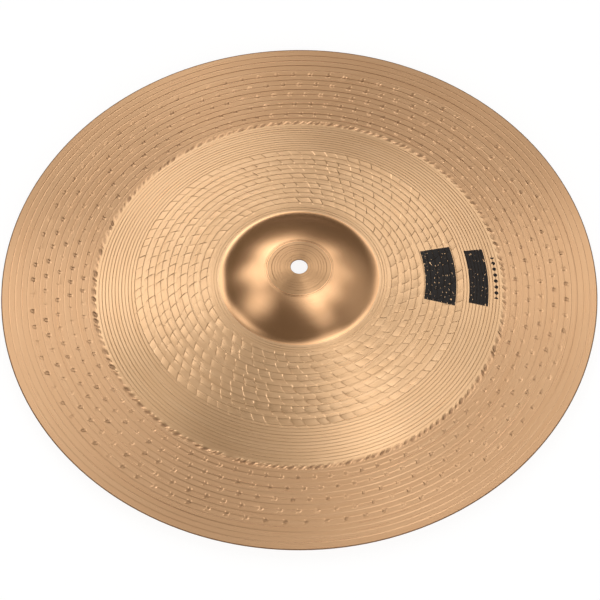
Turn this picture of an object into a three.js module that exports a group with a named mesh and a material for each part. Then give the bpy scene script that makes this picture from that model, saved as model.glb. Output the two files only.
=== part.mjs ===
import * as THREE from 'three';

// China cymbal: one disc of sheet bronze. From the hole outwards it has a bell, a bow that
// falls to a crease, and a flange that turns up again to the edge. Lengths are in
// millimetres. The axis is Z, the bell is up, and the underside of the crease is at Z = 0.

// Radii
const DISC_RADIUS = 228.6;
const CREASE_RADIUS = 158;
const BELL_RADIUS = 59;
const SEAT_RADIUS = 11;
const HOLE_RADIUS = 6.5;

// Heights of the upper face above the crease
const SEAT_HEIGHT = 26.5;
const FOOT_HEIGHT = 12.3;
const EDGE_HEIGHT = 8.6;

// How far the bow stands above, and the flange hangs below, a straight line over its width
const BOW_CROWN = 1.6;
const FLANGE_DISH = 0.6;

// The two corners of the outline: the height that each is rounded over, and its half width
const FOOT_ROUNDING = 1.1;
const FOOT_HALF_WIDTH = 3;
const CREASE_ROUNDING = 0.8;
const CREASE_HALF_WIDTH = 2.6;

// The sheet is level round the hole and thins from there to the edge
const SEAT_THICKNESS = 1.1;
const EDGE_THICKNESS = 0.7;
const NOSE_DEPTH = 0.3;
const SLOPE_STEP = 0.01;

// Every hammer mark is deepest off its middle, by this share of its length
const MARK_LEAN_SHARE = 0.2;

// Hammer marks of the bow: rows of scallops, side by side
const BOW_START_WIDTH = 9.8;
const BOW_END_WIDTH = 30;
const BOW_ROWS = 7;
const BOW_MARK_LENGTH = 9.6;
const BOW_MARK_DEPTH = 0.35;

// Hammer marks of the crease: one close row
const CREASE_MARK_LENGTH = 6.1;
const CREASE_MARK_DEPTH = 0.3;

// Hammer marks of the flange: small dents that stand apart, each row turned past the last
const FLANGE_START_WIDTH = 4.25;
const FLANGE_END_WIDTH = 18.8;
const FLANGE_ROWS = 5;
const FLANGE_ROW_MARKS = 90;
const FLANGE_ROW_TURN_SHARE = 0.35;
const FLANGE_MARK_LENGTH = 4.4;
const FLANGE_MARK_WIDTH = 3;
const FLANGE_MARK_DEPTH = 0.3;

// Sides of the rings that carry no marks, and the steps between them
const HOLE_SIDES = 36;
const BELL_SIDES = 48;
const FOOT_SIDES = 60;
const PLAIN_SIDES = 72;
const RIM_SIDES = 108;
const UNDER_SIDES = 60;
const BELL_STEPS = 5;
const BOW_PLAIN_STEPS = 2;
const FLANGE_PLAIN_STEPS = 2;
const UNDER_BOW_STEPS = 4;
const UNDER_FLANGE_STEPS = 3;

// The higher of two surfaces, with the corner between them rounded over a height
function roundedMax(first, second, rounding) {
  const overlap = Math.max(rounding - Math.abs(first - second), 0);
  return Math.max(first, second) + overlap ** 2 / (4 * rounding);
}

// How far a parabola over the middle of a width of 1 stands out, as a share of its rise
function archShare(share) {
  return 4 * share * (1 - share);
}

// A ball cap through the rim of the seat and the foot of the bell, cut level at the seat
function bellHeight(radius) {
  const centre = (SEAT_RADIUS ** 2 - BELL_RADIUS ** 2 + SEAT_HEIGHT ** 2 - FOOT_HEIGHT ** 2)
    / (2 * (SEAT_HEIGHT - FOOT_HEIGHT));
  const ballSquared = SEAT_RADIUS ** 2 + (SEAT_HEIGHT - centre) ** 2;
  const cap = centre + Math.sqrt(Math.max(ballSquared - radius ** 2, 0));
  return Math.min(cap, SEAT_HEIGHT);
}

function bowHeight(radius) {
  const share = (radius - BELL_RADIUS) / (CREASE_RADIUS - BELL_RADIUS);
  return FOOT_HEIGHT * (1 - share) + BOW_CROWN * archShare(share);
}

function flangeHeight(radius) {
  const share = (radius - CREASE_RADIUS) / (DISC_RADIUS - CREASE_RADIUS);
  return EDGE_HEIGHT * share - FLANGE_DISH * archShare(share);
}

function upperHeight(radius) {
  const dome = roundedMax(bellHeight(radius), bowHeight(radius), FOOT_ROUNDING);
  return roundedMax(dome, flangeHeight(radius), CREASE_ROUNDING);
}

function thickness(radius) {
  const share = (radius - SEAT_RADIUS) / (DISC_RADIUS - SEAT_RADIUS);
  return SEAT_THICKNESS + (EDGE_THICKNESS - SEAT_THICKNESS) * Math.max(share, 0);
}

// The underside lies one thickness below the upper face, measured square to the sheet
function lowerHeight(radius) {
  const rise = upperHeight(radius + SLOPE_STEP) - upperHeight(radius - SLOPE_STEP);
  const slope = radius > SEAT_RADIUS ? rise / (2 * SLOPE_STEP) : 0;
  return upperHeight(radius) - thickness(radius) * Math.hypot(1, slope);
}

function middleHeight(radius) {
  return (upperHeight(radius) + lowerHeight(radius)) / 2;
}

// A ring of points round the axis. Each station has its place in turns and its dent's depth.
function ring(heightAt, radius, stations) {
  const points = stations.map(({ turn, depth }) => {
    const angle = 2 * Math.PI * turn;
    const height = heightAt(radius) - depth;
    return new THREE.Vector3(radius * Math.cos(angle), radius * Math.sin(angle), height);
  });
  return { points, turns: stations.map(({ turn }) => turn) };
}

function plainRing(heightAt, radius, sides, shift = 0) {
  const stations = Array.from({ length: sides }, (_, side) => ({ turn: (side + shift) / sides, depth: 0 }));
  return ring(heightAt, radius, stations);
}

// Plain rings at even steps, from just past the start to the end
function steppedRings(heightAt, start, end, steps, sides) {
  return Array.from({ length: steps }, (_, step) => {
    const radius = start + (end - start) * (step + 1) / steps;
    return plainRing(heightAt, radius, sides);
  });
}

// The ring through the middle of a row of marks: each has one low point, and is level with
// the face at its ends. Marks that fill the row share their ends.
function markRing(radius, marks, shift, length, depth) {
  const halfTurn = Math.min(length / (2 * Math.PI * radius), 1 / marks) / 2;
  const apart = 2 * halfTurn * marks < 1;
  const stations = [];
  for (let mark = 0; mark < marks; mark += 1) {
    const turn = (mark + shift) / marks;
    if (apart) stations.push({ turn: turn - halfTurn, depth: 0 });
    stations.push({ turn: turn + 2 * halfTurn * MARK_LEAN_SHARE, depth });
    stations.push({ turn: turn + halfTurn, depth: 0 });
  }
  return ring(upperHeight, radius, stations);
}

function marksRound(radius, length) {
  return Math.round(2 * Math.PI * radius / length);
}

// Rows of scallops over the bow. Each row is half a mark out of step with the last.
function bowRows() {
  const start = BELL_RADIUS + BOW_START_WIDTH;
  const width = (CREASE_RADIUS - BOW_END_WIDTH - start) / BOW_ROWS;
  const rings = [plainRing(upperHeight, start, marksRound(start, BOW_MARK_LENGTH))];
  for (let row = 0; row < BOW_ROWS; row += 1) {
    const radius = start + width * (row + 1 / 2);
    const marks = marksRound(radius, BOW_MARK_LENGTH);
    const shift = row % 2 / 2;
    rings.push(markRing(radius, marks, shift, 2 * Math.PI * radius / marks, BOW_MARK_DEPTH));
    rings.push(plainRing(upperHeight, radius + width / 2, marks, shift));
  }
  return rings;
}

function creaseRow() {
  const marks = marksRound(CREASE_RADIUS, CREASE_MARK_LENGTH);
  const length = 2 * Math.PI * CREASE_RADIUS / marks;
  return [
    plainRing(upperHeight, CREASE_RADIUS - CREASE_HALF_WIDTH, PLAIN_SIDES),
    markRing(CREASE_RADIUS, marks, 0, length, CREASE_MARK_DEPTH),
    plainRing(upperHeight, CREASE_RADIUS + CREASE_HALF_WIDTH, PLAIN_SIDES),
  ];
}

function flangeRows() {
  const start = CREASE_RADIUS + FLANGE_START_WIDTH;
  const pitch = (DISC_RADIUS - FLANGE_END_WIDTH - start) / FLANGE_ROWS;
  const rings = [];
  for (let row = 0; row < FLANGE_ROWS; row += 1) {
    const radius = start + pitch * (row + 1 / 2);
    const shift = FLANGE_ROW_TURN_SHARE * row % 1;
    rings.push(
      plainRing(upperHeight, radius - FLANGE_MARK_WIDTH / 2, FLANGE_ROW_MARKS, shift),
      markRing(radius, FLANGE_ROW_MARKS, shift, FLANGE_MARK_LENGTH, FLANGE_MARK_DEPTH),
      plainRing(upperHeight, radius + FLANGE_MARK_WIDTH / 2, FLANGE_ROW_MARKS, shift),
    );
  }
  return rings;
}

// The upper face, from the hole outwards
function upperRings() {
  const footStart = BELL_RADIUS - FOOT_HALF_WIDTH;
  const footEnd = BELL_RADIUS + FOOT_HALF_WIDTH;
  const rowsEnd = CREASE_RADIUS - BOW_END_WIDTH;
  const creaseStart = CREASE_RADIUS - CREASE_HALF_WIDTH;
  const dentsEnd = DISC_RADIUS - FLANGE_END_WIDTH;
  return [
    plainRing(upperHeight, HOLE_RADIUS + NOSE_DEPTH, HOLE_SIDES),
    plainRing(upperHeight, SEAT_RADIUS, HOLE_SIDES),
    ...steppedRings(upperHeight, SEAT_RADIUS, footStart, BELL_STEPS, BELL_SIDES),
    plainRing(upperHeight, BELL_RADIUS, FOOT_SIDES),
    plainRing(upperHeight, footEnd, FOOT_SIDES),
    ...bowRows(),
    ...steppedRings(upperHeight, rowsEnd, creaseStart, BOW_PLAIN_STEPS, PLAIN_SIDES).slice(0, -1),
    ...creaseRow(),
    ...flangeRows(),
    ...steppedRings(upperHeight, dentsEnd, DISC_RADIUS - NOSE_DEPTH, FLANGE_PLAIN_STEPS, RIM_SIDES),
  ];
}

// The underside, from the edge inwards
function lowerRings() {
  const creaseEnd = CREASE_RADIUS + CREASE_HALF_WIDTH;
  const creaseStart = CREASE_RADIUS - CREASE_HALF_WIDTH;
  const footEnd = BELL_RADIUS + FOOT_HALF_WIDTH;
  const footStart = BELL_RADIUS - FOOT_HALF_WIDTH;
  return [
    plainRing(lowerHeight, DISC_RADIUS - NOSE_DEPTH, RIM_SIDES),
    ...steppedRings(lowerHeight, DISC_RADIUS, creaseEnd, UNDER_FLANGE_STEPS, UNDER_SIDES),
    plainRing(lowerHeight, CREASE_RADIUS, UNDER_SIDES),
    plainRing(lowerHeight, creaseStart, UNDER_SIDES),
    ...steppedRings(lowerHeight, creaseStart, footEnd, UNDER_BOW_STEPS, UNDER_SIDES),
    plainRing(lowerHeight, BELL_RADIUS, UNDER_SIDES),
    plainRing(lowerHeight, footStart, UNDER_SIDES),
    ...steppedRings(lowerHeight, footStart, SEAT_RADIUS, BELL_STEPS, BELL_SIDES).slice(0, -1),
    plainRing(lowerHeight, SEAT_RADIUS, HOLE_SIDES),
    plainRing(lowerHeight, HOLE_RADIUS + NOSE_DEPTH, HOLE_SIDES),
  ];
}

// The place in turns of a ring's point, counted on past the first turn
function turnAt({ turns }, index) {
  return turns[index % turns.length] + Math.floor(index / turns.length);
}

// Fills the band between two rings. Each triangle steps along the ring whose next point
// comes first, so the rings can have different numbers of points.
function fillBand(triangles, first, second) {
  const corner = (band, index) => band.start + index % band.points.length;
  let near = 0;
  let far = 0;
  while (near < first.points.length || far < second.points.length) {
    const stepFirst = far === second.points.length
      || (near < first.points.length && turnAt(first, near + 1) <= turnAt(second, far + 1));
    const step = stepFirst ? corner(first, near + 1) : corner(second, far + 1);
    triangles.push(corner(first, near), corner(second, far), step);
    if (stepFirst) near += 1;
    else far += 1;
  }
}

// Joins the rings in order, and the last to the first, into one closed skin
function closedGeometry(rings) {
  const points = [];
  for (const band of rings) {
    band.start = points.length;
    points.push(...band.points);
  }
  const triangles = [];
  rings.forEach((band, index) => fillBand(triangles, band, rings[(index + 1) % rings.length]));
  const geometry = new THREE.BufferGeometry().setFromPoints(points);
  geometry.setIndex(triangles);
  return geometry;
}

// Sets the lowest point of a geometry at Z = 0
function standOnGround(geometry) {
  geometry.computeBoundingBox();
  geometry.translate(0, 0, -geometry.boundingBox.min.z);
  geometry.computeVertexNormals();
  return geometry;
}

function makeDisc() {
  const geometry = closedGeometry([
    ...upperRings(),
    plainRing(middleHeight, DISC_RADIUS, RIM_SIDES),
    ...lowerRings(),
    plainRing(middleHeight, HOLE_RADIUS, HOLE_SIDES),
  ]);
  const bronze = new THREE.MeshStandardMaterial({ color: 0xcca27a, roughness: 0.35, metalness: 1 });
  const disc = new THREE.Mesh(standOnGround(geometry), bronze);
  disc.name = 'cymbal';
  return disc;
}

const cymbal = new THREE.Group();
cymbal.add(makeDisc());

export default cymbal;
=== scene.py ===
"""A china cymbal: one disc of sheet bronze, lathed and hammered, with a bright bell.

Lengths are named in millimetres and angles in degrees. MM turns a length to metres, the
unit of every mesh here. The disc's axis is Z, the bell is up, and +X is to the right.
"""

import functools
import itertools
import logging
import math
import random
from dataclasses import dataclass
from enum import Enum
from typing import Any, Iterable

import bmesh
import bpy
from mathutils import Matrix, Vector


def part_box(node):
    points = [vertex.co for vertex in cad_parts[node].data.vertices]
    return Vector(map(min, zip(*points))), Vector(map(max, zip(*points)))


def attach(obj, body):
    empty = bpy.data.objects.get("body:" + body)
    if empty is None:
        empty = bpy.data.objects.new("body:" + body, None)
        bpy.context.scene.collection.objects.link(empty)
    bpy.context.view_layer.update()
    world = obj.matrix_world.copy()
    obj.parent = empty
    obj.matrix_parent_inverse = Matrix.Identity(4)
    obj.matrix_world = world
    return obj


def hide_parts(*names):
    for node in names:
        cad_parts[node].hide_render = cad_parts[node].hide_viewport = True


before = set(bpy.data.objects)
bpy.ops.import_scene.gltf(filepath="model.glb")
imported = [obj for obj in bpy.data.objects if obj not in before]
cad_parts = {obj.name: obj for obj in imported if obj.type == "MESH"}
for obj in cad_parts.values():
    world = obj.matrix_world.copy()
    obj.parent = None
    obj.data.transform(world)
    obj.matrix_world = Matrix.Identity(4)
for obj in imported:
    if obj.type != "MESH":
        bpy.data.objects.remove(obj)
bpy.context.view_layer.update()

MM = 0.001
LATHE = "lathe"
HAMMER = "hammer"
OXIDE = "oxide"
LOG = logging.getLogger("cymbal")


def linear(code: str) -> tuple[float, float, float, float]:
    """Turn an sRGB colour to the linear one that a shader reads.

    Args:
        code: Six hex digits, two each for red, green and blue.

    Returns:
        Linear red, green and blue, and an alpha of 1.
    """
    channels = (int(code[at:at + 2], 16) / 255 for at in (0, 2, 4))
    red, green, blue = (
        value / 12.92 if value <= 0.04045 else ((value + 0.055) / 1.055) ** 2.4
        for value in channels
    )
    return red, green, blue, 1.0


def add_node(tree: bpy.types.NodeTree, kind: str, inputs: dict[Any, Any] | None = None,
             **settings: Any) -> bpy.types.Node:
    """Add a node with its settings and its links.

    Args:
        tree: Node tree that gets the node.
        kind: Blender's name of the node type.
        inputs: For each input, the node or output socket to link to it, or its value.
        **settings: Properties of the node, such as its operation.

    Returns:
        The new node.
    """
    node = tree.nodes.new(kind)
    for name, value in settings.items():
        setattr(node, name, value)
    for key, value in (inputs or {}).items():
        if isinstance(value, bpy.types.Node):
            value = value.outputs[0]
        if isinstance(value, bpy.types.NodeSocket):
            tree.links.new(value, node.inputs[key])
        else:
            node.inputs[key].default_value = value
    return node


def select_only(piece: bpy.types.Object) -> None:
    """Deselect everything, then select one object and make it the active one.

    Args:
        piece: Object to select.
    """
    bpy.ops.object.select_all(action="DESELECT")
    piece.select_set(True)
    bpy.context.view_layer.objects.active = piece


def apply_modifier(piece: bpy.types.Object, kind: str, **settings: Any) -> None:
    """Add one modifier to a piece and apply it.

    Args:
        piece: Object that gets the modifier.
        kind: Blender's name of the modifier type.
        **settings: Properties of the modifier.
    """
    select_only(piece)
    modifier = piece.modifiers.new(kind.title(), kind)
    for name, value in settings.items():
        setattr(modifier, name, value)
    bpy.ops.object.modifier_apply(modifier=modifier.name)


@dataclass(frozen=True)
class SheetSection:
    """Section of the sheet from the hole to the edge, as heights over the crease."""

    edge_radius: float
    top: float
    crease_radius: float = 158.0
    bell_radius: float = 59.0
    seat_radius: float = 11.0
    hole_radius: float = 6.5
    seat_height: float = 26.5
    foot_height: float = 12.3
    edge_height: float = 8.6
    bow_crown: float = 1.6
    flange_dish: float = 0.6
    foot_rounding: float = 2.0
    crease_rounding: float = 0.8
    seat_thickness: float = 1.1
    edge_thickness: float = 0.7
    slope_step: float = 0.01

    @staticmethod
    def rounded_max(first: float, second: float, rounding: float) -> float:
        """Give the higher of two levels, with the corner between them rounded.

        Args:
            first: One level.
            second: The other level.
            rounding: Height that the corner is rounded over.

        Returns:
            The rounded level.
        """
        overlap = max(rounding - abs(first - second), 0.0)
        return max(first, second) + overlap ** 2 / (4 * rounding)

    def bell(self, radius: float) -> float:
        """Give the level of the bell, a ball cap cut level at the seat.

        Args:
            radius: Distance from the axis.

        Returns:
            Level over the crease.
        """
        drop = self.seat_height - self.foot_height
        centre = (self.seat_radius ** 2 - self.bell_radius ** 2
                  + self.seat_height ** 2 - self.foot_height ** 2) / (2 * drop)
        ball_squared = self.seat_radius ** 2 + (self.seat_height - centre) ** 2
        cap = centre + math.sqrt(max(ball_squared - radius ** 2, 0.0))
        return min(cap, self.seat_height)

    def bow(self, radius: float) -> float:
        """Give the level of the bow, a low arch that falls from the bell to the crease."""
        share = (radius - self.bell_radius) / (self.crease_radius - self.bell_radius)
        return self.foot_height * (1 - share) + self.bow_crown * 4 * share * (1 - share)

    def flange(self, radius: float) -> float:
        """Give the level of the flange, which dishes up from the crease to the edge."""
        share = (radius - self.crease_radius) / (self.edge_radius - self.crease_radius)
        return self.edge_height * share - self.flange_dish * 4 * share * (1 - share)

    def upper(self, radius: float) -> float:
        """Give the height of the upper face over the floor.

        Args:
            radius: Distance from the axis.

        Returns:
            Height of the face before any tool mark.
        """
        dome = self.rounded_max(self.bell(radius), self.bow(radius), self.foot_rounding)
        level = self.rounded_max(dome, self.flange(radius), self.crease_rounding)
        return level + self.top - self.seat_height

    def slope(self, radius: float) -> float:
        """Give the slope of the upper face.

        Args:
            radius: Distance from the axis.

        Returns:
            Rise for each millimetre of radius.
        """
        if radius <= self.seat_radius:
            return 0.0
        rise = self.upper(radius + self.slope_step) - self.upper(radius - self.slope_step)
        return rise / (2 * self.slope_step)

    def thickness(self, radius: float) -> float:
        """Give the sheet's thickness, which tapers from the seat to the edge."""
        share = (radius - self.seat_radius) / (self.edge_radius - self.seat_radius)
        return self.seat_thickness + (self.edge_thickness - self.seat_thickness) * max(share, 0.0)

    def lower(self, radius: float) -> float:
        """Give the height of the underside, one thickness square below the upper face."""
        return self.upper(radius) - self.thickness(radius) * math.hypot(1, self.slope(radius))


@dataclass(frozen=True)
class LatheLines:
    """Turned grooves at an even pitch, each with a gentle inner wall and a steep outer one.

    The mesh has them as rings. The tool of a lathe cuts one spiral at this pitch.
    """

    first: float
    last: float
    pitch: float
    depth: float
    inner_width: float
    outer_width: float = 0.1
    bite: float = 0.85
    bite_spread: float = 0.15
    bite_turn: float = 2.4

    def radii(self) -> list[float]:
        """Give the radius of each groove."""
        count = int((self.last - self.first) / self.pitch) + 1
        return [self.first + self.pitch * turn for turn in range(count)]

    def rings(self) -> list[float]:
        """Give the radii of the lips and the bottom of each groove."""
        offsets = (-self.inner_width, 0.0, self.outer_width)
        return [radius + offset for radius in self.radii() for offset in offsets]

    def depth_at(self, radius: float) -> float:
        """Give how deep the tool cut at a radius.

        Args:
            radius: Distance from the axis.

        Returns:
            Depth below the face, a little different from one groove to the next.
        """
        turn = round((radius - self.first) / self.pitch)
        if not 0 <= turn < len(self.radii()):
            return 0.0
        offset = radius - self.first - turn * self.pitch
        away = offset / (self.outer_width if offset > 0 else -self.inner_width)
        bite = self.bite + self.bite_spread * math.sin(turn * self.bite_turn)
        return self.depth * bite * max(1.0 - away, 0.0)


class Blow(Enum):
    """Kind of hammer mark."""

    SCALLOP = "long marks side by side, which fill a row of the bow"
    NICK = "short slanted marks along the crease"
    DENT = "small round dents that stand apart on the flange"


@dataclass(frozen=True)
class HammerRow:
    """One ring of hammer marks and the stations that the mesh has in each mark.

    Stations are places along a mark, in shares of its room in the row, and shares are the
    depths there. Lean and curl slant and bend a mark, jitter moves it along the row, and
    sway pushes the metal outwards. Oxide is how much dark film is left in the mark.
    """

    blow: Blow
    radius: float
    half_width: float
    count: int
    depth: float
    shift: float
    stations: tuple[float, ...]
    shares: tuple[float, ...]
    lean: float = 0.0
    curl: float = 0.0
    jitter: float = 0.0
    seed: int = 0
    oxide: float = 0.0
    sway: float = 0.0
    weakest: float = 0.5
    strongest: float = 1.1

    @property
    def columns(self) -> int:
        """Give the number of mesh columns round the row."""
        return self.count * len(self.stations)

    def offsets(self) -> list[tuple[float, float]]:
        """Draw what sets each mark apart from the next.

        Returns:
            For each mark, its slip along the row, in marks, and its share of the depth.
        """
        draw = random.Random(self.seed)
        return [(draw.uniform(-self.jitter, self.jitter),
                 draw.uniform(self.weakest, self.strongest)) for _ in range(self.count)]

    def place(self, column: int, radius: float, offsets: list[tuple[float, float]],
              drift: float = 0.0) -> tuple[float, float]:
        """Give the angle and the depth of one vertex.

        Args:
            column: Number of the mesh column round the row.
            radius: Distance of the vertex from the axis.
            offsets: Slip and depth share of each mark.
            drift: How far the row's neighbours have turned it here, in marks.

        Returns:
            Angle in radians, and depth in millimetres.
        """
        mark, station = divmod(column, len(self.stations))
        along = self.stations[station]
        across = max(-1.0, min(1.0, (radius - self.radius) / self.half_width))
        slip, force = offsets[mark]
        following = offsets[(mark + 1) % self.count][0]
        bend = self.lean * across + self.curl * across ** 2
        turn = mark + along + slip + (following - slip) * along + bend + self.shift + drift
        # The peen leaves the outer wall of a dent steeper than the inner one.
        power = 4 if self.blow is Blow.DENT and across > 0 else 2
        bowl = 1.0 - abs(across) ** power
        return 2 * math.pi * turn / self.count, self.depth * force * self.shares[station] * bowl


class Zone(Enum):
    """Finish of one part of the disc, in the order of its material slots."""

    BELL = 0
    BOW = 1
    FLANGE = 2
    UNDERSIDE = 3
    EDGE = 4
    GROOVE = 5
    SEAT = 6


@dataclass(frozen=True)
class PrintedMark:
    """Plain screen-printed mark in black ink: two arc bars and a short row of dots.

    A bar is given by its inner and outer radius and its half angle. The ink is worn off in
    small chips, so it reads as old print on metal.
    """

    colour: str = "1C1816"
    heading: float = 2.0
    bars: tuple[tuple[float, float, float], ...] = ((97.0, 121.0, 13.0), (131.0, 146.0, 10.5))
    dots_radius: float = 152.0
    dots_pitch: float = 5.5
    dots: int = 7
    dot_size: float = 1.6
    chips_around: float = 45.0
    chip_width: float = 1.1
    wear: float = 0.7

    def mask(self, tree: bpy.types.NodeTree, polar: "PolarField") -> bpy.types.Node:
        """Build the mask of the ink, 1 where it lies and 0 on bare bronze.

        Args:
            tree: Node tree of the material.
            polar: Radius and turn at the shaded point.

        Returns:
            Node that holds the mask.
        """
        add = functools.partial(add_node, tree)
        swing = add("ShaderNodeMath", {0: polar.turn, 1: 360.0}, operation="MULTIPLY")
        swing = add("ShaderNodeMath", {0: swing, 1: self.heading}, operation="SUBTRACT")
        away = add("ShaderNodeMath", {0: swing}, operation="ABSOLUTE")
        ink = None
        for inner, outer, half in self.bars:
            centre, width = (inner + outer) / 2, (outer - inner) / 2
            offset = add("ShaderNodeMath", {0: polar.radius, 1: centre}, operation="SUBTRACT")
            offset = add("ShaderNodeMath", {0: offset}, operation="ABSOLUTE")
            inside = add("ShaderNodeMath", {0: offset, 1: width}, operation="LESS_THAN")
            within = add("ShaderNodeMath", {0: away, 1: half}, operation="LESS_THAN")
            bar = add("ShaderNodeMath", {0: inside, 1: within}, operation="MULTIPLY")
            ink = bar if ink is None else add("ShaderNodeMath", {0: ink, 1: bar},
                                              operation="MAXIMUM")
        length = add("ShaderNodeMath", {0: swing, 1: math.radians(1) * self.dots_radius},
                     operation="MULTIPLY")
        slot = add("ShaderNodeMath", {0: length, 1: self.dots_pitch}, operation="SNAP")
        across = add("ShaderNodeMath", {0: length, 1: slot}, operation="SUBTRACT")
        across = add("ShaderNodeMath", {0: across, 1: self.dots_pitch / 2}, operation="SUBTRACT")
        offset = add("ShaderNodeMath", {0: polar.radius, 1: self.dots_radius},
                     operation="SUBTRACT")
        place = add("ShaderNodeCombineXYZ", {0: across, 1: offset})
        reach = add("ShaderNodeVectorMath", {0: place}, operation="LENGTH").outputs["Value"]
        dot = add("ShaderNodeMath", {0: reach, 1: self.dot_size}, operation="LESS_THAN")
        length = add("ShaderNodeMath", {0: length}, operation="ABSOLUTE")
        row = add("ShaderNodeMath", {0: length, 1: self.dots * self.dots_pitch / 2},
                  operation="LESS_THAN")
        dot = add("ShaderNodeMath", {0: dot, 1: row}, operation="MULTIPLY")
        ink = add("ShaderNodeMath", {0: ink, 1: dot}, operation="MAXIMUM")
        flakes = polar.strokes(tree, self.chips_around, self.chip_width)
        chips = add("ShaderNodeTexNoise", {"Vector": flakes, "Scale": 1.0, "Detail": 1.0})
        kept = add("ShaderNodeMath", {0: chips, 1: self.wear}, operation="LESS_THAN")
        return add("ShaderNodeMath", {0: ink, 1: kept}, operation="MULTIPLY")


class PolarField:
    """Distance from the axis and turn round it, read from Object coordinates."""

    def __init__(self, tree: bpy.types.NodeTree) -> None:
        """Build the nodes that give the radius in millimetres and the turn.

        Args:
            tree: Node tree of the material.
        """
        add = functools.partial(add_node, tree)
        self.point = add("ShaderNodeTexCoord").outputs["Object"]
        self.flat = add("ShaderNodeVectorMath", {0: self.point, 1: (1, 1, 0)},
                        operation="MULTIPLY")
        length = add("ShaderNodeVectorMath", {0: self.flat}, operation="LENGTH").outputs["Value"]
        self.radius = add("ShaderNodeMath", {0: length, 1: 1 / MM}, operation="MULTIPLY")
        parts = add("ShaderNodeSeparateXYZ", {0: self.point})
        angle = add("ShaderNodeMath", {0: parts.outputs["Y"], 1: parts.outputs["X"]},
                    operation="ARCTAN2")
        self.turn = add("ShaderNodeMath", {0: angle, 1: 2 * math.pi}, operation="DIVIDE")

    def strokes(self, tree: bpy.types.NodeTree, around: float, width: float) -> bpy.types.Node:
        """Give coordinates that stretch a noise along the lathe's path.

        Args:
            tree: Node tree of the material.
            around: Number of strokes in a radian.
            width: Width of a stroke in millimetres.

        Returns:
            Node that holds the coordinates.
        """
        add = functools.partial(add_node, tree)
        heading = add("ShaderNodeVectorMath", {0: self.flat}, operation="NORMALIZE")
        ring = add("ShaderNodeVectorMath", {0: heading, 3: around}, operation="SCALE")
        step = add("ShaderNodeMath", {0: self.radius, 1: width}, operation="DIVIDE")
        rise = add("ShaderNodeCombineXYZ", {2: step})
        return add("ShaderNodeVectorMath", {0: ring, 1: rise}, operation="ADD")

    def spiral(self, tree: bpy.types.NodeTree, pitch: float) -> bpy.types.Node:
        """Give a wave along a tool path that moves out one pitch a turn.

        Args:
            tree: Node tree of the material.
            pitch: Distance between two passes in millimetres.

        Returns:
            Node that holds the wave, from -1 to 1.
        """
        add = functools.partial(add_node, tree)
        passes = add("ShaderNodeMath", {0: self.radius, 1: pitch}, operation="DIVIDE")
        passes = add("ShaderNodeMath", {0: passes, 1: self.turn}, operation="SUBTRACT")
        phase = add("ShaderNodeMath", {0: passes, 1: 2 * math.pi}, operation="MULTIPLY")
        return add("ShaderNodeMath", {0: phase}, operation="SINE")


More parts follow.
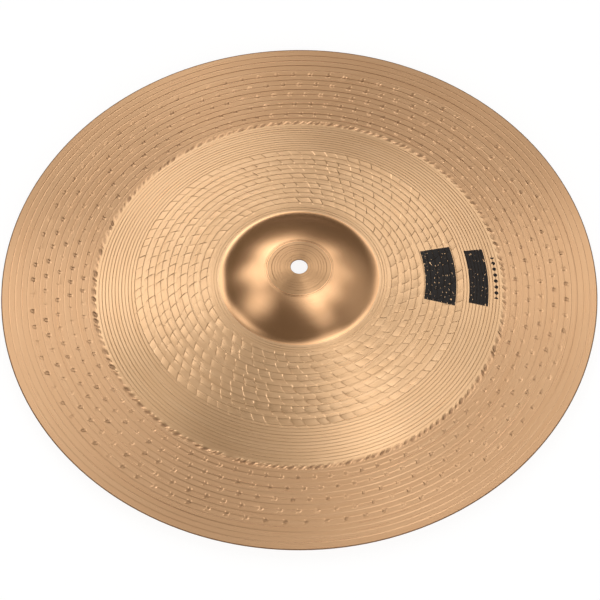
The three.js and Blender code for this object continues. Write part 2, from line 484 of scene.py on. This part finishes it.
@dataclass(frozen=True)
class BronzeFinish:
    """Tin bronze under clear lacquer, as one tool leaves it.

    The lathe draws the light out across its fine grooves, so a highlight becomes a wide
    fan from the axis to the edge. Buffing closes it to a soft spot.
    """

    name: str
    colour: str
    pale: str
    roughness: float
    anisotropy: float
    groove_pitch: float
    groove_height: float
    stroke_height: float
    stroke_width: float
    dent_height: float = 0.0
    dent_size: float = 12.0
    lacquer: float = 0.15
    lacquer_roughness: float = 0.2
    ink_shine: float = 0.15
    ink_roughness: float = 0.5
    tone_around: float = 3.0
    tone_width: float = 4.0
    strokes_around: float = 2.5
    roughness_spread: float = 0.008
    oxide_from: float = 0.3
    oxide_full: float = 0.75
    oxide_most: float = 0.5
    mark: PrintedMark | None = None
    oxide: str | None = None

    def material(self) -> bpy.types.Material:
        """Build the material.

        Returns:
            Material with its colour, roughness and relief.
        """
        material = bpy.data.materials.new(self.name)
        material.use_nodes = True
        tree = material.node_tree
        add = functools.partial(add_node, tree)
        shader = tree.nodes["Principled BSDF"]
        polar = PolarField(tree)
        drift = polar.strokes(tree, self.tone_around, self.tone_width)
        tone = add("ShaderNodeTexNoise", {"Vector": drift, "Scale": 1.0, "Detail": 3.0})
        path = polar.strokes(tree, self.strokes_around, self.stroke_width)
        strokes = add("ShaderNodeTexNoise", {"Vector": path, "Scale": 1.0, "Detail": 2.0})
        colour = add("ShaderNodeMix", {"Factor": tone, 6: linear(self.colour),
                                       7: linear(self.pale)}, data_type="RGBA").outputs[2]
        # The noise stays between 0.3 and 0.7 nearly everywhere.
        rough = add("ShaderNodeMapRange", {
            "Value": strokes, "From Min": 0.3, "From Max": 0.7,
            "To Min": self.roughness - self.roughness_spread,
            "To Max": self.roughness + self.roughness_spread})
        height = add("ShaderNodeMath", {0: polar.spiral(tree, self.groove_pitch),
                                        1: self.groove_height}, operation="MULTIPLY")
        scratch = add("ShaderNodeMath", {0: strokes, 1: self.stroke_height},
                      operation="MULTIPLY")
        height = add("ShaderNodeMath", {0: height, 1: scratch}, operation="ADD")
        if self.dent_height:
            dents = add("ShaderNodeTexNoise", {"Vector": polar.point, "Detail": 1.0,
                                               "Scale": 1 / (self.dent_size * MM)})
            sunk = add("ShaderNodeMath", {0: dents, 1: self.dent_height}, operation="MULTIPLY")
            height = add("ShaderNodeMath", {0: height, 1: sunk}, operation="ADD")
        if self.oxide:
            film = add("ShaderNodeAttribute", attribute_name=OXIDE).outputs["Fac"]
            film = add("ShaderNodeMapRange", {
                "Value": film, "From Min": self.oxide_from, "From Max": self.oxide_full,
                "To Max": self.oxide_most})
            colour = add("ShaderNodeMix", {"Factor": film, 6: colour, 7: linear(self.oxide)},
                         data_type="RGBA").outputs[2]
        metallic = None
        if self.mark:
            ink = self.mark.mask(tree, polar)
            colour = add("ShaderNodeMix", {"Factor": ink, 6: colour, 7: linear(self.mark.colour)},
                         data_type="RGBA").outputs[2]
            rough = add("ShaderNodeMix", {"Factor": ink, 2: rough, 3: self.ink_roughness},
                        data_type="FLOAT")
            metallic = add("ShaderNodeMath", {0: 1.0, 1: ink}, operation="SUBTRACT")
        bump = add("ShaderNodeBump", {"Height": height, "Distance": MM, "Strength": 1.0})
        tangent = add("ShaderNodeTangent", direction_type="RADIAL", axis="Z")
        for socket, source in (("Base Color", colour), ("Roughness", rough.outputs[0]),
                               ("Normal", bump.outputs[0]), ("Tangent", tangent.outputs[0])):
            tree.links.new(source, shader.inputs[socket])
        shader.inputs["Metallic"].default_value = 1.0
        if metallic:
            tree.links.new(metallic.outputs[0], shader.inputs["Metallic"])
        shader.inputs["Anisotropic"].default_value = self.anisotropy
        # A quarter turn, because grooves that run round the axis spread the light across them.
        shader.inputs["Anisotropic Rotation"].default_value = 0.25
        shader.inputs["Specular IOR Level"].default_value = self.ink_shine
        shader.inputs["Coat Weight"].default_value = self.lacquer
        shader.inputs["Coat Roughness"].default_value = self.lacquer_roughness
        return material


# All of them are bronze with 8 percent tin, so they have one hue, and the tool makes the
# difference, but for painted shade: the flange a shade browner, and the steep groove walls
# and the edge dark brown. The passes of a lathe tool are 0.1 to 0.3 mm apart, too fine to
# show here, so the groove pitch and the stroke width are drawn coarser, at 0.5 to 3.2 mm.
FINISHES: dict[Zone, BronzeFinish] = {
    # Buffed: soft-edged bright spots on brown, with the room in it, and a few shallow dips.
    Zone.BELL: BronzeFinish(
        name="buffed_tin_bronze", colour="CB9E73", pale="CFA47B", roughness=0.21,
        anisotropy=0.4, groove_pitch=1.6, groove_height=0.0008, stroke_height=0.001,
        stroke_width=1.5, dent_height=0.03),
    # Finely lathed: a pale satin that lights up in wide fans, with dark film in the marks.
    Zone.BOW: BronzeFinish(
        name="lathed_tin_bronze_bow", colour="D4AB80", pale="DDB890", roughness=0.28,
        anisotropy=0.9, groove_pitch=2.54, groove_height=0.004, stroke_height=0.0012,
        stroke_width=0.8, mark=PrintedMark(), oxide="5A3E2A"),
    # Lathed the same way as the bow, in the same bronze painted a shade browner: painted shade for
    # the flange's slope away from the light.
    Zone.FLANGE: BronzeFinish(
        name="lathed_tin_bronze_flange", colour="C89D75", pale="CEA882", roughness=0.28,
        anisotropy=0.9, groove_pitch=2.3, groove_height=0.004, stroke_height=0.0012,
        stroke_width=0.8, oxide="5A3E2A"),
    # Lathed in one coarse pass and not polished: duller and darker, with uneven shine.
    Zone.UNDERSIDE: BronzeFinish(
        name="lathed_tin_bronze_under", colour="BE9067", pale="C89C73", roughness=0.36,
        anisotropy=0.5, groove_pitch=3.2, groove_height=0.012, stroke_height=0.006,
        stroke_width=1.1, dent_height=0.12, dent_size=9.0),
    # Filed round, and painted dark brown as shade: a thin dark line that closes the outline, on the
    # rim and the hole walls.
    Zone.EDGE: BronzeFinish(
        name="edge_painted_shade", colour="6E5138", pale="866548", roughness=0.45,
        anisotropy=0.3, groove_pitch=0.8, groove_height=0.0, stroke_height=0.004,
        stroke_width=0.5, lacquer=0.0),
    # Painted shade: dull dark brown on every steep groove wall, which makes each groove a fine dark
    # line.
    Zone.GROOVE: BronzeFinish(
        name="groove_wall_painted_shade", colour="7A5A3E", pale="866548", roughness=0.4,
        anisotropy=0.0, groove_pitch=0.8, groove_height=0.0, stroke_height=0.002,
        stroke_width=0.5),
    # Lathed after the bell was buffed: an even tan ring, with no sharp spots in it.
    Zone.SEAT: BronzeFinish(
        name="lathed_tin_bronze_seat", colour="BC946C", pale="C49C74", roughness=0.29,
        anisotropy=0.8, groove_pitch=1.1, groove_height=0.003, stroke_height=0.0012,
        stroke_width=0.8),
}


@dataclass
class CymbalDisc:
    """The disc: bell, bow, crease, flange and edge, in one sheet of bronze.

    Each family of lines is given by its first and last radius, its pitch, its depth and
    the width of its inner walls. The wide grooves are deeper than real ones, so that they
    show. The lip is the bevel on both rims of the hole.
    """

    section: SheetSection
    deepest_line: float = 0.28
    deepest_mark: float = 0.6
    lines: tuple[LatheLines, ...] = (
        LatheLines(8.6, 22.4, 2.1, 0.14, 0.6), LatheLines(24.2, 26.6, 1.15, 0.06, 0.4),
        LatheLines(63.6, 68.0, 2.0, 0.14, 0.45), LatheLines(71.0, 127.0, 5.08, 0.18, 0.55),
        LatheLines(129.4, 155.5, 2.54, 0.17, 0.5), LatheLines(163.2, 227.0, 4.6, 0.28, 0.8))
    row_pitch: float = 8.47
    first_row: float = 73.0
    row_counts: tuple[int, ...] = (48, 54, 59, 64, 70, 76, 81)
    dent_rows: int = 5
    first_dent_row: float = 167.0
    dent_row_pitch: float = 9.5
    dents: int = 90
    dent_drift: float = 0.35
    crease_start: float = 154.6
    crease_end: float = 161.6
    dents_end: float = 209.5
    row_rings: tuple[float, ...] = (-1.0, -0.5, 0.0, 0.5, 1.0)
    seam: float = 0.3
    plain_columns: int = 180
    ring_step: float = 2.0
    under_step: float = 7.0
    bend_rings: int = 8
    crease_reach: float = 3.0
    foot_reach: float = 4.0
    foot_step: float = 1.3
    foot_rings: int = 3
    nose_steps: int = 4
    lip: float = 0.2
    merge_distance: float = 0.01
    sharp_angle: float = 6.0
    seat_lathed: float = 24.6
    bell_buffed: float = 61.0
    edge_width: float = 0.8
    shaded_slope: float = 45.0
    name: str = "cymbal_disc"

    def lines_depth(self, radius: float) -> float:
        """Give the depth of the turned grooves on the upper face at a radius."""
        return max(family.depth_at(radius) for family in self.lines)

    def line_rings(self, start: float, end: float) -> list[float]:
        """Give the rings that the turned grooves need between two radii."""
        rings = itertools.chain.from_iterable(family.rings() for family in self.lines)
        return [ring for ring in rings if start < ring < end]

    def fill_rings(self, start: float, end: float, wanted: Iterable[float],
                   step: float, least: float = 0.09) -> list[float]:
        """Choose the rings of a band.

        Args:
            start: Radius of the band's inner end.
            end: Radius of its outer end.
            wanted: Radii that the band's grooves and marks need.
            step: Widest gap between two rings.
            least: Narrowest gap between two rings.

        Returns:
            Radii in order, with both ends.
        """
        rings = [start]
        for radius in sorted(wanted):
            if rings[-1] + least <= radius <= end - least:
                rings.append(radius)
        rings.append(end)
        filled = [start]
        for inner, outer in itertools.pairwise(rings):
            pieces = max(1, math.ceil((outer - inner) / step - 0.01))
            filled += [inner + (outer - inner) * piece / pieces for piece in range(1, pieces + 1)]
        return filled

    def spin(self, points: list[tuple[float, float]], columns: int) -> bpy.types.Object:
        """Draw a section point by point and turn it round the axis.

        Args:
            points: Radius and height of each point of the section.
            columns: Number of steps round the axis.

        Returns:
            The turned band, with its object at the origin.
        """
        bpy.ops.object.select_all(action="DESELECT")
        bpy.ops.mesh.primitive_plane_add(size=MM)
        band = bpy.context.object
        bpy.ops.object.mode_set(mode="EDIT")
        bpy.ops.mesh.select_all(action="SELECT")
        bpy.ops.mesh.merge(type="CENTER")
        radius, height = points[0]
        bpy.ops.transform.translate(value=(radius * MM, 0, height * MM))
        for (radius, height), (next_radius, next_height) in itertools.pairwise(points):
            step = ((next_radius - radius) * MM, 0, (next_height - height) * MM)
            bpy.ops.mesh.extrude_region_move(TRANSFORM_OT_translate={"value": step})
        bpy.ops.mesh.select_all(action="SELECT")
        bpy.ops.mesh.spin(steps=columns, angle=2 * math.pi, center=(0, 0, 0), axis=(0, 0, 1))
        bpy.ops.mesh.select_all(action="SELECT")
        bpy.ops.mesh.remove_doubles(threshold=self.merge_distance * MM)
        bpy.ops.object.mode_set(mode="OBJECT")
        for name in (LATHE, HAMMER):
            band.vertex_groups.new(name=name)
        band.data.attributes.new(OXIDE, "FLOAT", "POINT")
        return band

    def cut_lines(self, band: bpy.types.Object) -> None:
        """Weigh each vertex of a band by how deep the lathe cut there.

        Args:
            band: Band with its vertices still on the section.
        """
        for vertex in band.data.vertices:
            radius = math.hypot(vertex.co.x, vertex.co.y) / MM
            if vertex.co.z / MM < self.section.upper(radius) - self.section.edge_thickness / 2:
                continue
            share = self.lines_depth(radius) / self.deepest_line
            if share > 0:
                band.vertex_groups[LATHE].add([vertex.index], share, "REPLACE")

    def hammer(self, band: bpy.types.Object, rows: list[HammerRow], drift: float = 0.0) -> None:
        """Draw a band's columns to its marks and weigh its vertices by the marks' depth.

        Args:
            band: Band whose columns stand evenly round the axis.
            rows: Rows of marks on the band, from the inside out.
            drift: Marks that each row is turned past the row before.
        """
        columns = rows[0].columns
        offsets = [row.offsets() for row in rows]
        film = band.data.attributes[OXIDE].data
        for vertex in band.data.vertices:
            radius = math.hypot(vertex.co.x, vertex.co.y) / MM
            turn = math.atan2(vertex.co.y, vertex.co.x) / (2 * math.pi)
            column = round(turn * columns) % columns
            nearest = min(range(len(rows)), key=lambda at: abs(rows[at].radius - radius))
            row = rows[nearest]
            twist = drift * (radius - rows[0].radius) / self.dent_row_pitch
            angle, depth = row.place(column, radius, offsets[nearest], twist)
            radius += row.sway * depth / row.depth
            vertex.co.x = radius * MM * math.cos(angle)
            vertex.co.y = radius * MM * math.sin(angle)
            if depth > 0:
                share = depth / self.deepest_mark
                band.vertex_groups[HAMMER].add([vertex.index], share, "REPLACE")
                film[vertex.index].value = row.oxide * depth / row.depth

    def bow_row(self, index: int, count: int) -> HammerRow:
        """Give one row of scallops of the bow, which start steep and run out."""
        return HammerRow(
            Blow.SCALLOP, radius=self.first_row + index * self.row_pitch, half_width=4.0,
            count=count, depth=0.44, shift=0.5 * (index % 2),
            stations=(0.0, 0.09, 0.2, 0.42, 0.7, 0.96), shares=(0.0, 1.0, 0.74, 0.36, 0.1, 0.0),
            lean=0.28, curl=0.08, jitter=0.16, seed=100 + index, sway=0.45)

    def crease_row(self) -> HammerRow:
        """Give the close row of slanted nicks along the crease."""
        return HammerRow(
            Blow.NICK, radius=158.6, half_width=2.0, count=163, depth=0.55, shift=0.0,
            stations=(0.06, 0.3, 0.58, 0.86), shares=(0.0, 1.0, 0.9, 0.0),
            lean=-0.35, jitter=0.4, seed=7, oxide=0.9)

    def dent_row(self, index: int) -> HammerRow:
        """Give one row of dents of the flange, each with a level bottom."""
        return HammerRow(
            Blow.DENT, radius=self.first_dent_row + index * self.dent_row_pitch, half_width=2.2,
            count=self.dents, depth=0.38, shift=0.0,
            stations=(0.28, 0.335, 0.41, 0.47, 0.54), shares=(0.0, 1.0, 1.0, 0.85, 0.0),
            lean=-0.11, curl=-0.07, jitter=0.05, seed=40 + index, oxide=0.55)

    def band(self, start: float, end: float, rows: list[HammerRow],
             drift: float = 0.0) -> bpy.types.Object:
        """Make one band of the upper face with its rows of marks.

        Args:
            start: Radius of its inner end.
            end: Radius of its outer end.
            rows: Rows of marks on it, which may be none.
            drift: Marks that each row is turned past the row before.

        Returns:
            The band as an open ring.
        """
        wanted = self.line_rings(start, end)
        for row in rows:
            wanted += [row.radius + share * row.half_width for share in self.row_rings]
        rings = self.fill_rings(start, end, wanted, self.ring_step)
        columns = rows[0].columns if rows else self.plain_columns
        band = self.spin([(ring, self.section.upper(ring)) for ring in rings], columns)
        self.cut_lines(band)
        if rows:
            self.hammer(band, rows, drift)
        return band

    def wrap(self, start: float, end: float) -> bpy.types.Object:
        """Make the rest of the disc: plain flange, edge, underside, hole and bell.

        Args:
            start: Radius on the flange where the plain edge zone starts.
            end: Radius outside the bell's foot where the smooth centre ends.

        Returns:
            One open ring from the flange over the edge and through the hole.
        """
        section = self.section
        half = section.edge_thickness / 2
        rim = section.edge_radius - half
        wanted = self.line_rings(start, rim) + [section.edge_radius - self.edge_width]
        upper = self.fill_rings(start, rim, wanted, self.ring_step)
        points = [(ring, section.upper(ring)) for ring in upper]
        middle = section.upper(rim) - half
        for step in range(1, self.nose_steps):
            angle = math.pi * (0.5 - step / self.nose_steps)
            points.append((rim + half * math.cos(angle), middle + half * math.sin(angle)))
        under = self.fill_rings(section.hole_radius + self.lip, rim, (), self.under_step)
        bends = (section.crease_radius - self.crease_reach, section.bell_radius - self.foot_reach)
        fine = [bend + step for bend in bends for step in range(self.bend_rings)]
        under = sorted(set(under) | set(fine), reverse=True)
        points += [(ring, max(section.lower(ring), 0.0)) for ring in under]
        hole = section.hole_radius
        points += [(hole, section.lower(hole) + self.lip), (hole, section.upper(hole) - self.lip)]
        foot = [section.bell_radius + self.foot_step * step
                for step in range(-self.foot_rings, self.foot_rings + 1)]
        bell = self.fill_rings(hole + self.lip, end, self.line_rings(hole, end)
                               + [section.seat_radius] + foot, self.ring_step)
        points += [(ring, section.upper(ring)) for ring in bell]
        ring = self.spin(points, self.plain_columns)
        self.cut_lines(ring)
        return ring

    def bridge(self, disc: bpy.types.Object, inner: float, outer: float) -> None:
        """Close the narrow gap between the ends of two bands.

        Args:
            disc: Object that holds both bands.
            inner: Radius of the end of the inner band.
            outer: Radius of the end of the outer band.
        """
        bpy.ops.mesh.select_all(action="DESELECT")
        mesh = bmesh.from_edit_mesh(disc.data)
        near = 0.1 * self.seam * MM
        for edge in mesh.edges:
            if not edge.is_boundary:
                continue
            radii = [math.hypot(vertex.co.x, vertex.co.y) for vertex in edge.verts]
            if any(all(abs(radius - end * MM) < near for radius in radii)
                   for end in (inner, outer)):
                edge.select_set(True)
        bmesh.update_edit_mesh(disc.data)
        bpy.ops.mesh.bridge_edge_loops()

    def build(self) -> bpy.types.Object:
        """Model the whole disc as one closed mesh.

        Returns:
            The disc, with its object at the origin.
        """
        half = self.row_pitch / 2
        row_starts = [self.first_row - half + self.row_pitch * at
                      for at in range(len(self.row_counts) + 1)]
        ends = row_starts + [self.crease_start, self.crease_end, self.dents_end]
        plans: list[tuple[list[HammerRow], float]] = [
            ([self.bow_row(at, count)], 0.0) for at, count in enumerate(self.row_counts)]
        plans += [([], 0.0), ([self.crease_row()], 0.0),
                  ([self.dent_row(at) for at in range(self.dent_rows)], self.dent_drift)]
        gap = self.seam / 2
        bands = [self.band(start + gap, end - gap, rows, drift)
                 for (start, end), (rows, drift) in zip(itertools.pairwise(ends), plans)]
        bands.append(self.wrap(ends[-1] + gap, ends[0] - gap))
        bpy.ops.object.select_all(action="DESELECT")
        for band in bands:
            band.select_set(True)
        bpy.context.view_layer.objects.active = bands[-1]
        bpy.ops.object.join()
        disc = bpy.context.object
        disc.name = disc.data.name = self.name
        bpy.ops.object.mode_set(mode="EDIT")
        bpy.ops.mesh.select_mode(type="EDGE")
        for end in ends:
            self.bridge(disc, end - gap, end + gap)
        bpy.ops.mesh.select_mode(type="VERT")
        bpy.ops.mesh.select_all(action="SELECT")
        bpy.ops.mesh.normals_make_consistent(inside=False)
        bpy.ops.object.mode_set(mode="OBJECT")
        for group, deepest in ((LATHE, self.deepest_line), (HAMMER, self.deepest_mark)):
            apply_modifier(disc, "DISPLACE", direction="Z", mid_level=0.0, vertex_group=group,
                           strength=-deepest * MM)
        select_only(disc)
        bpy.ops.object.shade_smooth_by_angle(angle=math.radians(self.sharp_angle))
        return disc

    def zone(self, face: bpy.types.MeshPolygon) -> Zone:
        """Tell which finish a face has.

        Args:
            face: Face of the finished mesh.

        Returns:
            Zone that the face lies in.
        """
        radius = math.hypot(face.center.x, face.center.y) / MM
        edge = self.section.edge_radius - self.edge_width
        # The rim and the hole walls get the painted shade of the edge.
        if radius > edge or radius < self.section.hole_radius + self.lip / 2:
            return Zone.EDGE
        if face.normal.z < 0:
            return Zone.UNDERSIDE
        # Faces steeper than this get the painted shade of the groove walls.
        if face.normal.z < math.cos(math.radians(self.shaded_slope)):
            return Zone.GROOVE
        if radius < self.seat_lathed:
            return Zone.SEAT
        if radius < self.bell_buffed:
            return Zone.BELL
        return Zone.BOW if radius < self.section.crease_radius else Zone.FLANGE

    def dress(self, disc: bpy.types.Object, finishes: dict[Zone, BronzeFinish]) -> None:
        """Give each face of the disc its finish.

        Args:
            disc: The finished mesh.
            finishes: Finish of each zone.
        """
        for zone in Zone:
            disc.data.materials.append(finishes[zone].material())
        for face in disc.data.polygons:
            face.material_index = self.zone(face).value


@dataclass(frozen=True)
class Softbox:
    """One soft panel of light, far off, as the world shows it."""

    azimuth: float
    elevation: float
    half_width: float
    half_height: float
    softness: float
    strength: float


@dataclass(frozen=True)
class Studio:
    """White floor, white background and soft light.

    The softboxes are given by their azimuth, elevation, half width, half height and
    softness, and by their strength.
    """

    ambient: float = 0.18
    surround: str = "FFEAD2"
    floor_colour: str = "F4F4F4"
    floor_radius: float = 8000.0
    floor_gap: float = 0.5
    floor_shade: float = 0.12
    floor_glow: float = 0.9
    softboxes: tuple[Softbox, ...] = (
        Softbox(102, 36, 11, 3, 8, 3.5),
        Softbox(124, 49, 12, 11, 5, 2.1),
        Softbox(74, 46, 8, 12, 4, 1.7),
        Softbox(163, 61, 8, 8, 8, 1.9),
        Softbox(43, 81, 22, 7, 4, 1.0),
        Softbox(42, 70, 7, 11, 7, 2.5),
        Softbox(53, 51, 8, 8, 4, 1.0),
        Softbox(15, 46, 40, 13, 13, 0.4),
        Softbox(270, 30, 88, 22, 8, 1.8),
    )

    def world(self) -> None:
        """Build the world: a dim surround with softboxes, white to the camera."""
        world = bpy.data.worlds.new("studio")
        bpy.context.scene.world = world
        world.use_nodes = True
        tree = world.node_tree
        tree.nodes.clear()
        ray = add_node(tree, "ShaderNodeTexCoord").outputs["Generated"]
        total = None
        for box in self.softboxes:
            azimuth, elevation = math.radians(box.azimuth), math.radians(box.elevation)
            ahead = Vector((math.cos(elevation) * math.cos(azimuth),
                            math.cos(elevation) * math.sin(azimuth), math.sin(elevation)))
            side = Vector((-math.sin(azimuth), math.cos(azimuth), 0))
            rise = ahead.cross(side)
            depth = add_node(tree, "ShaderNodeVectorMath", {0: ray, 1: ahead},
                             operation="DOT_PRODUCT").outputs["Value"]
            mask = add_node(tree, "ShaderNodeMath", {0: depth, 1: 0.0},
                            operation="GREATER_THAN").outputs[0]
            for axis, half in ((side, box.half_width), (rise, box.half_height)):
                across = add_node(tree, "ShaderNodeVectorMath", {0: ray, 1: axis},
                                  operation="DOT_PRODUCT").outputs["Value"]
                angle = add_node(tree, "ShaderNodeMath", {0: across, 1: depth},
                                 operation="ARCTAN2").outputs[0]
                size = add_node(tree, "ShaderNodeMath", {0: angle}, operation="ABSOLUTE").outputs[0]
                near = math.radians(max(half - box.softness, 0))
                fade = add_node(tree, "ShaderNodeMapRange", {
                    "Value": size, "From Min": near, "From Max": math.radians(half + box.softness),
                    "To Min": 1.0, "To Max": 0.0}, interpolation_type="SMOOTHSTEP").outputs[0]
                mask = add_node(tree, "ShaderNodeMath", {0: mask, 1: fade},
                                operation="MULTIPLY").outputs[0]
            glow = add_node(tree, "ShaderNodeMath", {0: mask, 1: box.strength},
                            operation="MULTIPLY").outputs[0]
            if total is None:
                total = glow
            else:
                total = add_node(tree, "ShaderNodeMath", {0: glow, 1: total},
                                 operation="ADD").outputs[0]
        panels = add_node(tree, "ShaderNodeBackground", {
            "Color": (1, 1, 1, 1), "Strength": total})
        room = add_node(tree, "ShaderNodeBackground", {
            "Color": linear(self.surround), "Strength": self.ambient})
        light = add_node(tree, "ShaderNodeAddShader", {0: panels.outputs[0], 1: room.outputs[0]})
        white = add_node(tree, "ShaderNodeBackground", {"Color": (1, 1, 1, 1), "Strength": 1.0})
        seen = add_node(tree, "ShaderNodeLightPath").outputs["Is Camera Ray"]
        mix = add_node(tree, "ShaderNodeMixShader", {
            0: seen, 1: light.outputs[0], 2: white.outputs[0]})
        add_node(tree, "ShaderNodeOutputWorld", {0: mix.outputs[0]})

    def floor(self) -> bpy.types.Object:
        """Build the floor, which stays white to the camera and keeps the shadow.

        Returns:
            The floor, which isn't part of the cymbal.
        """
        bpy.ops.object.select_all(action="DESELECT")
        bpy.ops.mesh.primitive_circle_add(vertices=96, radius=self.floor_radius * MM,
                                          fill_type="NGON",
                                          location=(0, 0, -self.floor_gap * MM))
        floor = bpy.context.object
        floor.name = "studio_floor"
        material = bpy.data.materials.new("matt_white_floor")
        material.use_nodes = True
        tree = material.node_tree
        tree.nodes.clear()
        paint = add_node(tree, "ShaderNodeBsdfDiffuse", {"Color": linear(self.floor_colour)})
        faint = add_node(tree, "ShaderNodeBsdfDiffuse", {"Color": (*[self.floor_shade] * 3, 1)})
        glow = add_node(tree, "ShaderNodeEmission", {"Strength": self.floor_glow})
        shown = add_node(tree, "ShaderNodeAddShader", {0: faint.outputs[0], 1: glow.outputs[0]})
        path = add_node(tree, "ShaderNodeLightPath")
        seen = path.outputs["Is Camera Ray"]
        for ray in ("Is Glossy Ray", "Is Transmission Ray"):
            seen = add_node(tree, "ShaderNodeMath", {0: seen, 1: path.outputs[ray]},
                            operation="MAXIMUM").outputs[0]
        mix = add_node(tree, "ShaderNodeMixShader", {
            0: seen, 1: paint.outputs[0], 2: shown.outputs[0]})
        add_node(tree, "ShaderNodeOutputMaterial", {0: mix.outputs[0]})
        floor.data.materials.append(material)
        return floor


@dataclass(frozen=True)
class PhotoCamera:
    """Camera at the photograph's place, fitted to the edge, the crease, the bell and the hole."""

    distance: float = 1500.0
    elevation: float = 56.7
    aim_height: float = 8.9
    focal_pixels: float = 1950.0
    image_pixels: float = 600.0
    sensor: float = 36.0
    pan: float = -0.02
    tilt: float = -0.60
    roll: float = -0.26

    def build(self) -> bpy.types.Object:
        """Make the camera and give it to the scene.

        Returns:
            The camera.
        """
        lift = math.radians(self.elevation)
        back = Vector((0, -math.cos(lift), math.sin(lift)))
        right = Vector((1, 0, 0))
        up = back.cross(right)
        turned = (Matrix.Rotation(math.radians(self.pan), 3, up)
                  @ Matrix.Rotation(math.radians(self.tilt), 3, right)
                  @ Matrix.Rotation(math.radians(self.roll), 3, back))
        camera = bpy.data.objects.new("photo_camera", bpy.data.cameras.new("photo_camera"))
        bpy.context.scene.collection.objects.link(camera)
        matrix = Matrix((turned @ right, turned @ up, turned @ back)).transposed().to_4x4()
        matrix.translation = back * self.distance * MM + Vector((0, 0, self.aim_height * MM))
        camera.matrix_world = matrix
        camera.data.sensor_width = self.sensor
        camera.data.lens = self.focal_pixels / self.image_pixels * self.sensor
        bpy.context.scene.camera = camera
        return camera


def main() -> None:
    """Build the studio and the disc, and report each piece."""
    logging.basicConfig(level=logging.INFO, format="%(name)s: %(message)s")
    PhotoCamera().build()
    studio = Studio()
    studio.world()
    studio.floor()
    bpy.context.scene.view_settings.view_transform = "Standard"
    low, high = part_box("cymbal")
    section = SheetSection(edge_radius=high[0] / MM, top=high[2] / MM)
    cymbal = CymbalDisc(section)
    disc = cymbal.build()
    cymbal.dress(disc, FINISHES)
    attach(disc, "root")
    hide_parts("cymbal")
    LOG.info("%s: %d faces", disc.name, len(disc.data.polygons))


if __name__ == "__main__":
    main()
